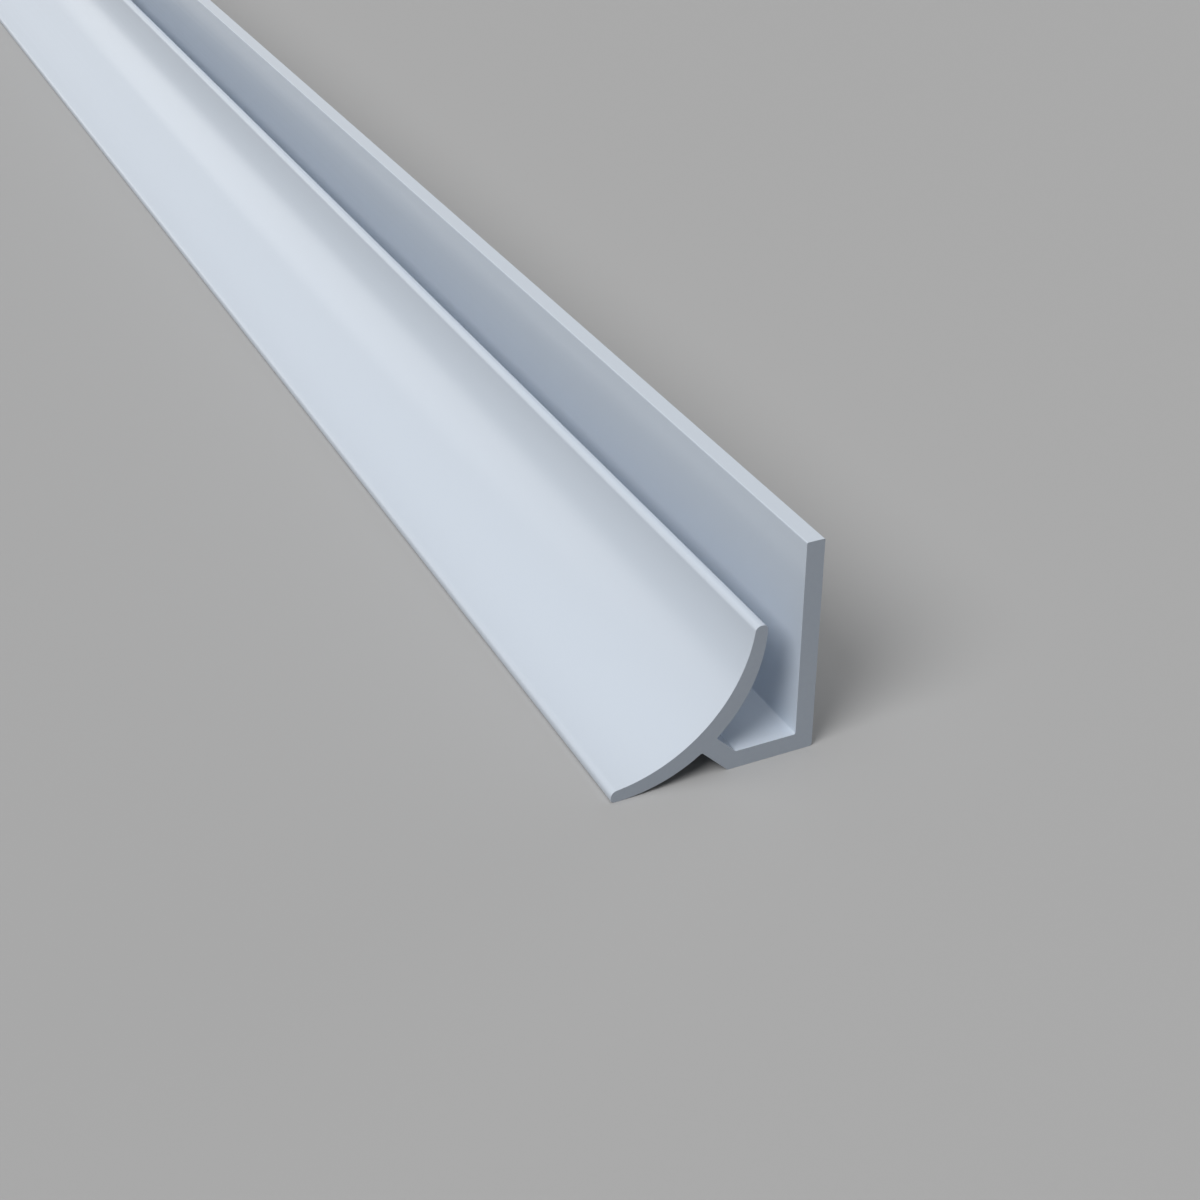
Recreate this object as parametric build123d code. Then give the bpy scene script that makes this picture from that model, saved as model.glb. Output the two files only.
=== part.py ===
from build123d import *
import os
from math import cos, radians, sin, sqrt, tan

# Internal corner trim for 2.5 mm wall cladding: one extrusion of rigid PVC.
# The flange is fixed to one wall, the base web and the lower lip bear on the other, and
# a cladding sheet slides down into the pocket between the flange and the upper lip.
# The cove hides the sheet's edge and rounds the corner off towards the room.
#
# The section is drawn with x negative from the flange's outer face and z up from the
# plane of the base, then moved so that the origin lies under the middle of the section.
# In the finished part +X points to the flange, +Y runs along the length and +Z is up.

# Driving dimensions, in millimetres and degrees
length = 2440.0  # 8 ft stock length
flange_height = 18.0
wall = 1.5  # flange, base web, oblique web and the middle of the cove
lip_thickness = 1.0  # upper lip, before its corners are rounded
panel_thickness = 2.5
panel_play = 0.3
base_width = 7.2  # flat underside, from the flange's outer face
web_angle = 45.0  # oblique web above the base
back_radius = 12.0  # convex back of the cove
landing = 0.5  # lower lip beyond the line where its back touches the base's plane
base_round = 0.2  # both edges of the flat underside
flange_round = 0.1  # both edges of the flange's top
root_round = 0.15
upper_lip_round = 0.45  # on the back of the upper lip
lower_lip_round = 0.3  # on the back of the lower lip, which bears on the wall
lip_flat = 0.1  # left between the two roundings of each lip

# The cove's back is a quarter round. It touches the base's plane at the lower lip and
# stands upright at the upper lip, which the panel passes with its play.
mouth = panel_thickness + panel_play
back_centre = Vector(-(wall + mouth + back_radius), back_radius)
lip_top = back_centre.Y
reach = landing - back_centre.X

# The visible face is a slightly larger arc, centred further out on the same bisector. It
# leaves one wall half way round and the lip's thickness at the upper lip. The difference
# of those two conditions is linear in the distance between the centres.
bisector = Vector(-1, 1).normalized()
middle_inside = back_radius - wall
lip_inside = back_radius - lip_thickness
centre_shift = (lip_inside**2 - middle_inside**2) / (2 * middle_inside - sqrt(2) * lip_inside)
cove_centre = back_centre + bisector * centre_shift
cove_radius = middle_inside + centre_shift

# Where the base bends into the oblique web, on its underside and in the pocket
base_bend = Vector(-base_width, 0)
pocket_bend = Vector(-base_width + wall * tan(radians(web_angle / 2)), wall)


def disc(centre, radius):
    """A full disc in the section, to add or take away."""
    return Pos(centre) * Circle(radius)


def block(x_low, x_high, z_high):
    """A rectangle in the section, standing on the base's plane."""
    return Pos((x_low + x_high) / 2, z_high / 2) * Rectangle(x_high - x_low, z_high)


def oblique_web():
    """The strut from the base up to the cove, cut off at the cove's visible face."""
    along = Vector(-cos(radians(web_angle)), sin(radians(web_angle)))
    across = Vector(wall / sin(radians(web_angle)), 0)
    run = along * back_radius
    strip = Polygon(base_bend, base_bend + across, base_bend + across + run, base_bend + run, align=None)
    return strip - disc(cove_centre, cove_radius)


def cove():
    """The crescent between the two arcs, cut square at both lips."""
    crescent = disc(back_centre, back_radius) - disc(cove_centre, cove_radius)
    return crescent & block(-reach, 0, lip_top)


def corners_on_arc(profile, centre, radius, tolerance=1e-4):
    """The section's corners on one of the cove's arcs, from the lower lip to the upper."""
    corners = [c for c in profile.vertices() if abs((Vector(c) - centre).length - radius) < tolerance]
    return sorted(corners, key=lambda corner: corner.X)


def rounded(profile, places, radius):
    """The section with the corners nearest to the given places rounded."""
    corners = [profile.vertices().sort_by_distance(place)[0] for place in places]
    return fillet(corners, radius)


def rounded_lip(profile, face_corner, back_corner, back_round):
    """One of the cove's lips. Its face is rounded by what the back and the flat leave."""
    thickness = (Vector(face_corner) - Vector(back_corner)).length
    profile = rounded(profile, [back_corner], back_round)
    return rounded(profile, [face_corner], thickness - lip_flat - back_round)


def section():
    """The whole profile, with the die's small radii on every corner."""
    flange = block(-wall, 0, flange_height)
    base_web = block(-base_width, 0, wall)
    profile = flange + base_web + oblique_web() + cove()

    face_corners = corners_on_arc(profile, cove_centre, cove_radius)
    back_corners = corners_on_arc(profile, back_centre, back_radius)
    web_roots = back_corners[1:-1]
    underside = [Vector(0, 0), base_bend]
    flange_top = [Vector(0, flange_height), Vector(-wall, flange_height)]
    pocket_roots = [Vector(-wall, wall), pocket_bend]

    profile = rounded_lip(profile, face_corners[0], back_corners[0], lower_lip_round)
    profile = rounded_lip(profile, face_corners[-1], back_corners[-1], upper_lip_round)
    profile = rounded(profile, underside, base_round)
    profile = rounded(profile, flange_top, flange_round)
    return rounded(profile, web_roots + pocket_roots, root_round)


def corner_trim():
    """The section extruded both ways from the middle of the length, with square saw cuts."""
    centred = Pos(reach / 2, 0) * section()
    return extrude(Plane.XZ * centred, length / 2, both=True)


os.makedirs("parts", exist_ok=True)
trim = corner_trim()
trim.label = "corner_trim"
export_step(trim, "parts/corner_trim.step")
print("reach", round(reach, 3), "cove radius", round(cove_radius, 3), "volume", round(trim.volume, 1))
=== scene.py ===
from math import asin, cos, pi, radians, sin, sqrt, tan

import bmesh
import bpy
from mathutils import Euler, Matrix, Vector


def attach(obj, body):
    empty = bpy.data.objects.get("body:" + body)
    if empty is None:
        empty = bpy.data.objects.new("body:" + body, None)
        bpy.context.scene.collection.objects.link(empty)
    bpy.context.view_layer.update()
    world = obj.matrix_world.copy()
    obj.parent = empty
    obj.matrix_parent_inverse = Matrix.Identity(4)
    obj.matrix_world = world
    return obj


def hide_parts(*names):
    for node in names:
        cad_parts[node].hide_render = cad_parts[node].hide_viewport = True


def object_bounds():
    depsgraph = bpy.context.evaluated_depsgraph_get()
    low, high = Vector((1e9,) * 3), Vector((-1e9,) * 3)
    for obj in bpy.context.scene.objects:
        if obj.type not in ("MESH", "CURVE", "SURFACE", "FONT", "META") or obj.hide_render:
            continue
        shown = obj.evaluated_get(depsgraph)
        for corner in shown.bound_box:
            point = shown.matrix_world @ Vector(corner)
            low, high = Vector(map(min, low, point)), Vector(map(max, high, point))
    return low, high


# The trim lies as it would on a bench: the base web and the lower lip on the floor, the flange
# upright at +X, its length along Y. The near end is the one that the photo shows.
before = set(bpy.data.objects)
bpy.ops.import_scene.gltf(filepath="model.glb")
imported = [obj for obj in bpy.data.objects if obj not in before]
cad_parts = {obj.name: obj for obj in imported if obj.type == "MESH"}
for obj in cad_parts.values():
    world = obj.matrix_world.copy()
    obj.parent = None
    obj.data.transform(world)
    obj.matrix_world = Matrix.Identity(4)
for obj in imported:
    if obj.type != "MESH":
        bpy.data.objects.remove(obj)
cad_low, cad_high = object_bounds()
MM = 0.001


# The section, drawn flat at the near end
# One extrusion of rigid PVC has one section from end to end, so it is drawn once: the cove as a
# crescent between two circles, then the flange, the base web and the oblique web that joins them.
WALL = 1.5 * MM
LIP = 1.0 * MM
MOUTH = 2.8 * MM  # a 2.5 mm cladding sheet and its play
BASE_WIDTH = 7.2 * MM
BACK_RADIUS = 12.0 * MM
WEB_ANGLE = radians(45)
CIRCLE_STEPS = 360  # one a degree
TOUCHING = 0.001 * MM  # places nearer than this are one place
ON_PLANE = 0.000001 * MM  # a cut takes places nearer than this as on its plane

outer_x = cad_high.x
base_z = cad_low.z
near_y = cad_low.y
length = cad_high.y - cad_low.y
flange_height = cad_high.z - cad_low.z
back_centre = Vector((outer_x - WALL - MOUTH - BACK_RADIUS, near_y, base_z + BACK_RADIUS))
lip_top = back_centre.z

# The visible arc is a little larger and centred further out on the bisector, so that the cove
# is one wall thick half way round and one lip thick at its ends.
middle_inside = BACK_RADIUS - WALL
lip_inside = BACK_RADIUS - LIP
centre_shift = (lip_inside**2 - middle_inside**2) / (2 * middle_inside - sqrt(2) * lip_inside)
cove_radius = middle_inside + centre_shift
out_of_corner = Vector((-1, 0, 1)).normalized()
cove_centre = back_centre + out_of_corner * centre_shift


def section_point(x, z):
    """A point of the section, from the flange's outer face and the base's plane."""
    return Vector((outer_x + x, near_y, base_z + z))


def select_vertices(test):
    """In edit mode, selects the vertices whose place passes the test, and nothing else."""
    bpy.ops.mesh.select_mode(type="VERT")
    bpy.ops.mesh.select_all(action="DESELECT")
    mesh = bmesh.from_edit_mesh(bpy.context.object.data)
    for vertex in mesh.verts:
        vertex.select_set(test(vertex.co))
    mesh.select_flush(True)
    bmesh.update_edit_mesh(bpy.context.object.data)


def cut(point, normal, drop=False):
    """Bisects all faces at a plane, and may drop what lies on the normal's side."""
    bpy.ops.mesh.select_all(action="SELECT")
    bpy.ops.mesh.bisect(plane_co=point, plane_no=normal, clear_outer=drop, threshold=ON_PLANE)


bpy.ops.object.select_all(action="DESELECT")
bpy.ops.mesh.primitive_circle_add(
    vertices=CIRCLE_STEPS, radius=BACK_RADIUS, location=back_centre, rotation=(pi / 2, 0, 0)
)
trim = bpy.context.object
trim.name = trim.data.name = "corner_trim_extrusion"
bpy.ops.object.transform_apply()
bpy.ops.object.mode_set(mode="EDIT")
bpy.ops.mesh.extrude_edges_move()
growth = cove_radius / BACK_RADIUS
bpy.ops.transform.resize(value=(growth,) * 3, center_override=back_centre)
bpy.ops.transform.translate(value=cove_centre - back_centre)
cut((0, 0, lip_top), (0, 0, 1), drop=True)
cut((cad_low.x, 0, 0), (-1, 0, 0), drop=True)

# The oblique web's two faces cross the cove: each leaves a vertex on the back, where it roots
base_bend = section_point(-BASE_WIDTH, 0)
pocket_bend = section_point(-BASE_WIDTH + WALL * tan(WEB_ANGLE / 2), WALL)
web_normal = Vector((sin(WEB_ANGLE), 0, cos(WEB_ANGLE)))
cut(base_bend, web_normal)
cut(pocket_bend, web_normal)


def on_back(place):
    return abs((place - back_centre).length - BACK_RADIUS) < 0.01 * MM


def across_web(place):
    """How far a place lies from the web's lower face towards the pocket."""
    return (place - base_bend).dot(web_normal)


def in_web_root(place):
    """On the cove's back, between the web's two faces."""
    return on_back(place) and -TOUCHING < across_web(place) < WALL + TOUCHING


mesh = bmesh.from_edit_mesh(trim.data)
back_places = [v.co.copy() for v in mesh.verts if on_back(v.co)]
web_roots = [
    min(back_places, key=lambda place: abs(across_web(place))),
    min(back_places, key=lambda place: abs(across_web(place) - WALL)),
]

flange_middle = section_point(-WALL / 2, flange_height / 2)
bpy.ops.mesh.select_all(action="DESELECT")
bpy.ops.mesh.primitive_plane_add(size=1, location=flange_middle, rotation=(pi / 2, 0, 0))
bpy.ops.transform.resize(value=(WALL, 1, flange_height), center_override=flange_middle)
bpy.ops.mesh.bisect(plane_co=section_point(0, WALL), plane_no=(0, 0, 1), threshold=ON_PLANE)
select_vertices(lambda p: abs(p.x - outer_x + WALL) < TOUCHING and p.z < base_z + WALL + TOUCHING)
bpy.ops.mesh.extrude_edges_move(TRANSFORM_OT_translate={"value": (WALL - BASE_WIDTH, 0, 0)})
square_corner = section_point(-BASE_WIDTH, WALL)
select_vertices(lambda p: (p - square_corner).length < TOUCHING)
bpy.ops.transform.translate(value=pocket_bend - square_corner)

web_foot = (base_bend, pocket_bend)
select_vertices(lambda p: in_web_root(p) or min((p - bend).length for bend in web_foot) < TOUCHING)
bpy.ops.mesh.bridge_edge_loops()
bpy.ops.mesh.select_all(action="SELECT")
bpy.ops.mesh.remove_doubles(threshold=TOUCHING / 10)
bpy.ops.mesh.dissolve_faces()


# The die's radii
# Every corner of the die is eased, the lips most of all, because the plastic tears at a sharp
# one. The arcs' own vertices next to a corner give way to its radius.
BASE_RADIUS = 0.2 * MM
FLANGE_RADIUS = 0.1 * MM
ROOT_RADIUS = 0.15 * MM
UPPER_LIP_RADIUS = 0.45 * MM  # on the lip's back
LOWER_LIP_RADIUS = 0.3 * MM  # on the lip's back, which bears on the wall
LIP_FLAT = 0.1 * MM  # left between the two radii of a lip
RADIUS_STEPS = 8
GIVE_WAY = 1.15  # how far arc vertices give way, in lengths of the radius's setback


def on_arc(centre, radius, x=None, z=None):
    """The lower right part of a circle, read at one x or at one z."""
    if z is None:
        return Vector((x, near_y, centre.z - sqrt(radius**2 - (x - centre.x) ** 2)))
    return Vector((centre.x + sqrt(radius**2 - (z - centre.z) ** 2), near_y, z))


def round_corner(corner, radius, turn=radians(90)):
    """Rounds one corner of the section. turn is how far the outline turns there."""
    setback = radius * tan(turn / 2)
    select_vertices(lambda p: TOUCHING < (p - corner).length < setback * GIVE_WAY)
    bpy.ops.mesh.dissolve_verts()
    select_vertices(lambda p: (p - corner).length < TOUCHING)
    bpy.ops.mesh.bevel(
        offset=setback, offset_type="OFFSET", segments=RADIUS_STEPS, affect="VERTICES",
        clamp_overlap=False
    )


def round_lip(cut_normal, back_round, **place):
    """Rounds both corners of a square-cut lip. Its face takes what the back and the flat leave."""
    face = on_arc(cove_centre, cove_radius, **place)
    back = on_arc(back_centre, BACK_RADIUS, **place)
    face_round = (face - back).length - LIP_FLAT - back_round
    for corner, centre, radius in ((face, cove_centre, face_round), (back, back_centre, back_round)):
        lean = asin(abs((corner - centre).normalized().dot(cut_normal)))
        round_corner(corner, radius, pi / 2 - lean)


round_lip(Vector((0, 0, 1)), UPPER_LIP_RADIUS, z=lip_top)
round_lip(Vector((1, 0, 0)), LOWER_LIP_RADIUS, x=cad_low.x)
round_corner(section_point(0, 0), BASE_RADIUS)
round_corner(base_bend, BASE_RADIUS, WEB_ANGLE)
round_corner(section_point(0, flange_height), FLANGE_RADIUS)
round_corner(section_point(-WALL, flange_height), FLANGE_RADIUS)
round_corner(section_point(-WALL, WALL), ROOT_RADIUS)
round_corner(pocket_bend, ROOT_RADIUS, WEB_ANGLE)
for root in web_roots:
    round_corner(root, ROOT_RADIUS)


# The length
# The die's section runs out at stock length, and a fine saw cuts it square. The saw leaves a
# crisp edge, broken by a hundredth of a millimetre.
SAW_EDGE = 0.01 * MM
SMOOTH_BELOW = radians(30)


def select_faces(test):
    """In edit mode, selects the faces that pass the test, and nothing else."""
    bpy.ops.mesh.select_mode(type="FACE")
    bpy.ops.mesh.select_all(action="DESELECT")
    for face in bmesh.from_edit_mesh(bpy.context.object.data).faces:
        face.select_set(test(face))
    bmesh.update_edit_mesh(bpy.context.object.data)


def is_end(face):
    """The flat face of an end looks along Y, and its broken edge looks half sideways."""
    return abs(face.normal.y) > 0.9


bpy.ops.mesh.select_all(action="SELECT")
bpy.ops.transform.translate(value=(0, SAW_EDGE, 0))
bpy.ops.mesh.extrude_region_move(TRANSFORM_OT_translate={"value": (0, length - 2 * SAW_EDGE, 0)})
bpy.ops.mesh.select_all(action="SELECT")
bpy.ops.mesh.normals_make_consistent(inside=False)
select_faces(is_end)
bpy.ops.mesh.inset(thickness=SAW_EDGE, depth=SAW_EDGE, use_even_offset=True)
bpy.ops.object.mode_set(mode="OBJECT")
bpy.ops.object.shade_smooth_by_angle(angle=SMOOTH_BELOW)
weighted = trim.modifiers.new("flat_faces_stay_flat", "WEIGHTED_NORMAL")
weighted.keep_sharp = True
bpy.ops.object.modifier_apply(modifier=weighted.name)


# The extruded skin
# Rigid PVC filled with white pigment, cooled against polished steel: a cool white satin. The die
# draws faint lines along the whole length, and the melt leaves its white a little uneven.
PVC_WHITE = "#D8E1EC"
PVC_WHITE_STREAK = "#D5DFEB"
PVC_IOR = 1.53
SKIN_ROUGHNESS = (0.18, 0.24)
DIE_LINE = 0.35 * MM  # the real lines are a few hundredths of a millimetre apart
DIE_LINE_HEIGHT = 0.0015 * MM
FLOW_MARK = 7 * MM
GRAIN = 0.5 * MM
GRAIN_HEIGHT = 0.001 * MM
DRAWN_OUT = 400  # how many times longer than wide the lines are


def linear(hex_colour):
    """An sRGB hex colour as the linear values that a shader takes."""
    channels = [int(hex_colour[i:i + 2], 16) / 255 for i in (1, 3, 5)]
    return [c / 12.92 if c <= 0.04045 else ((c + 0.055) / 1.055) ** 2.4 for c in channels] + [1]


def add_node(tree, kind, settings=(), inputs=()):
    """Adds a shader node, sets its own settings, then sets or links its sockets."""
    node = tree.nodes.new(kind)
    for name, value in dict(settings).items():
        setattr(node, name, value)
    for name, value in dict(inputs).items():
        if isinstance(value, bpy.types.NodeSocket):
            tree.links.new(value, node.inputs[name])
        else:
            node.inputs[name].default_value = value
    return node


pvc = bpy.data.materials.new("rigid_pvc_extruded_satin")
pvc.use_nodes = True
tree = pvc.node_tree
shader = tree.nodes["Principled BSDF"]
shader.inputs["IOR"].default_value = PVC_IOR
place = add_node(tree, "ShaderNodeTexCoord")
along_die = add_node(tree, "ShaderNodeMapping", inputs={
    "Vector": place.outputs["Object"], "Scale": (1, 1 / DRAWN_OUT, 1)
})
die_lines = add_node(tree, "ShaderNodeTexNoise", inputs={
    "Vector": along_die.outputs["Vector"], "Scale": 1 / DIE_LINE, "Detail": 2, "Roughness": 0.6
})
flow_marks = add_node(tree, "ShaderNodeTexNoise", inputs={
    "Vector": along_die.outputs["Vector"], "Scale": 1 / FLOW_MARK, "Detail": 1
})
grain = add_node(tree, "ShaderNodeTexNoise", inputs={
    "Vector": place.outputs["Object"], "Scale": 1 / GRAIN, "Detail": 1
})
tint = add_node(tree, "ShaderNodeMixRGB", inputs={
    "Fac": flow_marks.outputs["Fac"],
    "Color1": linear(PVC_WHITE), "Color2": linear(PVC_WHITE_STREAK)
})
gloss = add_node(tree, "ShaderNodeMapRange", inputs={
    "Value": die_lines.outputs["Fac"], "From Min": 0.3, "From Max": 0.7,
    "To Min": SKIN_ROUGHNESS[0], "To Max": SKIN_ROUGHNESS[1]
})
lines_relief = add_node(tree, "ShaderNodeBump", inputs={
    "Height": die_lines.outputs["Fac"], "Distance": DIE_LINE_HEIGHT
})
relief = add_node(tree, "ShaderNodeBump", inputs={
    "Height": grain.outputs["Fac"], "Distance": GRAIN_HEIGHT,
    "Normal": lines_relief.outputs["Normal"]
})
tree.links.new(tint.outputs["Color"], shader.inputs["Base Color"])
tree.links.new(gloss.outputs["Result"], shader.inputs["Roughness"])
tree.links.new(relief.outputs["Normal"], shader.inputs["Normal"])
trim.data.materials.append(pvc)


# The sawn ends
# The same PVC, cut to length with a fine-toothed circular blade: duller than the skin, with shallow
# arcs where the teeth passed. Its colour is painted shade, darker and a little bluer than the
# skin's.
# painted shade: the ends' white is the skin's white darkened and blued, for the shade they lie in
SAWN_PAINTED_SHADE_WHITE = "#C6D0DC"
SAWN_PAINTED_SHADE_WHITE_DULL = "#C0CAD8"
SAWN_ROUGHNESS = (0.5, 0.6)
TOOTH_MARK = 0.3 * MM  # the real marks are under 0.1 mm apart
TOOTH_MARK_HEIGHT = 0.002 * MM
BLADE_RADIUS = 125 * MM
BLADE_CENTRE = Vector((0.8, 0, -0.6)) * BLADE_RADIUS
RINGS_TO_SCALE = 2 * pi / 20  # the wave texture's rings are this far apart at a scale of 1

sawn = bpy.data.materials.new("rigid_pvc_fine_sawn_painted_shade")
sawn.use_nodes = True
tree = sawn.node_tree
shader = tree.nodes["Principled BSDF"]
shader.inputs["IOR"].default_value = PVC_IOR
place = add_node(tree, "ShaderNodeTexCoord")
from_blade = add_node(tree, "ShaderNodeMapping", inputs={
    "Vector": place.outputs["Object"], "Location": -BLADE_CENTRE
})
tooth_marks = add_node(tree, "ShaderNodeTexWave", {"wave_type": "RINGS", "rings_direction": "Y"}, {
    "Vector": from_blade.outputs["Vector"], "Scale": RINGS_TO_SCALE / TOOTH_MARK,
    "Distortion": 3, "Detail": 1
})
chalk = add_node(tree, "ShaderNodeTexNoise", inputs={
    "Vector": place.outputs["Object"], "Scale": 1 / GRAIN, "Detail": 2
})
tint = add_node(tree, "ShaderNodeMixRGB", inputs={
    "Fac": chalk.outputs["Fac"], "Color1": linear(SAWN_PAINTED_SHADE_WHITE), "Color2": linear(SAWN_PAINTED_SHADE_WHITE_DULL)
})
gloss = add_node(tree, "ShaderNodeMapRange", inputs={
    "Value": tooth_marks.outputs["Fac"], "To Min": SAWN_ROUGHNESS[0], "To Max": SAWN_ROUGHNESS[1]
})
relief = add_node(tree, "ShaderNodeBump", inputs={
    "Height": tooth_marks.outputs["Fac"], "Distance": TOOTH_MARK_HEIGHT
})
tree.links.new(tint.outputs["Color"], shader.inputs["Base Color"])
tree.links.new(gloss.outputs["Result"], shader.inputs["Roughness"])
tree.links.new(relief.outputs["Normal"], shader.inputs["Normal"])
trim.data.materials.append(sawn)

bpy.ops.object.mode_set(mode="EDIT")
select_faces(is_end)
trim.active_material_index = 1
bpy.ops.object.material_slot_assign()
bpy.ops.object.mode_set(mode="OBJECT")

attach(trim, "root")
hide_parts("corner_trim")


# Floor, light and camera
# A plain pale floor, one broad soft key high on the left, an overhead fill, a low softbox behind
# that the cove mirrors, weak ones beside the camera and on the flange's outer side, and the
# camera at the photo's angle.
FLOOR_RADIUS = 50  # metres, so that its edge makes a horizon
FLOOR_GREY = "#BCBCBC"
FLOOR_GREY_TO_OBJECT = "#808080"  # the darker card that lights the trim from below
BACKDROP_LEVEL = 0.7
FILL_LEVEL = 0.1  # what lights the trim from all round


def seen_plainly(tree):
    """1 for the rays that show a surface as it is: from the camera, in gloss, through glass."""
    ray = add_node(tree, "ShaderNodeLightPath")
    seen = ray.outputs["Is Camera Ray"]
    for kind in ("Is Glossy Ray", "Is Transmission Ray"):
        either = {0: seen, 1: ray.outputs[kind]}
        seen = add_node(tree, "ShaderNodeMath", {"operation": "MAXIMUM"}, either).outputs[0]
    return seen


bpy.ops.object.select_all(action="DESELECT")
bpy.ops.mesh.primitive_circle_add(
    vertices=96, radius=FLOOR_RADIUS, fill_type="NGON", location=(0, 0, base_z)
)
floor = bpy.context.object
floor.name = "floor"
floor_material = bpy.data.materials.new("matt_grey_card")
floor_material.use_nodes = True
tree = floor_material.node_tree
floor_shader = tree.nodes["Principled BSDF"]
floor_shader.inputs["Roughness"].default_value = 0.9
floor_shader.inputs["Specular IOR Level"].default_value = 0.0
floor_tone = add_node(tree, "ShaderNodeMixRGB", inputs={
    "Fac": seen_plainly(tree),
    "Color1": linear(FLOOR_GREY_TO_OBJECT), "Color2": linear(FLOOR_GREY)
})
tree.links.new(floor_tone.outputs["Color"], floor_shader.inputs["Base Color"])
floor.data.materials.append(floor_material)


def softbox(name, azimuth, elevation, width, level):
    """A round, far softbox, placed in degrees. Azimuth 0 is -X and 90 is +Y. Level 1 shows
    white as white."""
    flat = cos(radians(elevation))
    towards = Vector((
        -cos(radians(azimuth)) * flat, sin(radians(azimuth)) * flat, sin(radians(elevation))
    ))
    lamp = bpy.data.objects.new(name, bpy.data.lights.new(name, "SUN"))
    lamp.data.angle = radians(width)
    lamp.data.energy = level * pi
    lamp.rotation_euler = towards.to_track_quat("Z", "Y").to_euler()
    bpy.context.scene.collection.objects.link(lamp)


softbox("key", -25, 46, 31, 0.555)
softbox("overhead", 20, 84, 50, 0.265)
softbox("low_behind", 61, 5, 28, 0.036)
softbox("beside_camera", -75, 12, 40, 0.028)
softbox("behind_flange", 160, 4, 30, 0.22)

world = bpy.data.worlds.new("studio")
world.use_nodes = True
tree = world.node_tree
sky_level = add_node(tree, "ShaderNodeMapRange", inputs={
    "Value": seen_plainly(tree), "To Min": FILL_LEVEL, "To Max": BACKDROP_LEVEL
})
tree.nodes["Background"].inputs["Color"].default_value = (1, 1, 1, 1)
tree.links.new(sky_level.outputs["Result"], tree.nodes["Background"].inputs["Strength"])
bpy.context.scene.world = world

CAMERA_OFFSET = Vector((-66.9, -104.05, 88.46)) * MM  # from the flange's foot at the near end
CAMERA_AZIMUTH = radians(-25.33)
CAMERA_ELEVATION = radians(31.64)
camera = bpy.data.objects.new("camera", bpy.data.cameras.new("camera"))
camera.data.lens = 60
camera.data.sensor_width = 36
camera.data.clip_start = 10 * MM
camera.location = section_point(0, 0) + CAMERA_OFFSET
camera.rotation_euler = Euler((pi / 2 - CAMERA_ELEVATION, 0, CAMERA_AZIMUTH))
bpy.context.scene.collection.objects.link(camera)
bpy.context.scene.camera = camera
bpy.context.scene.view_settings.view_transform = "Standard"
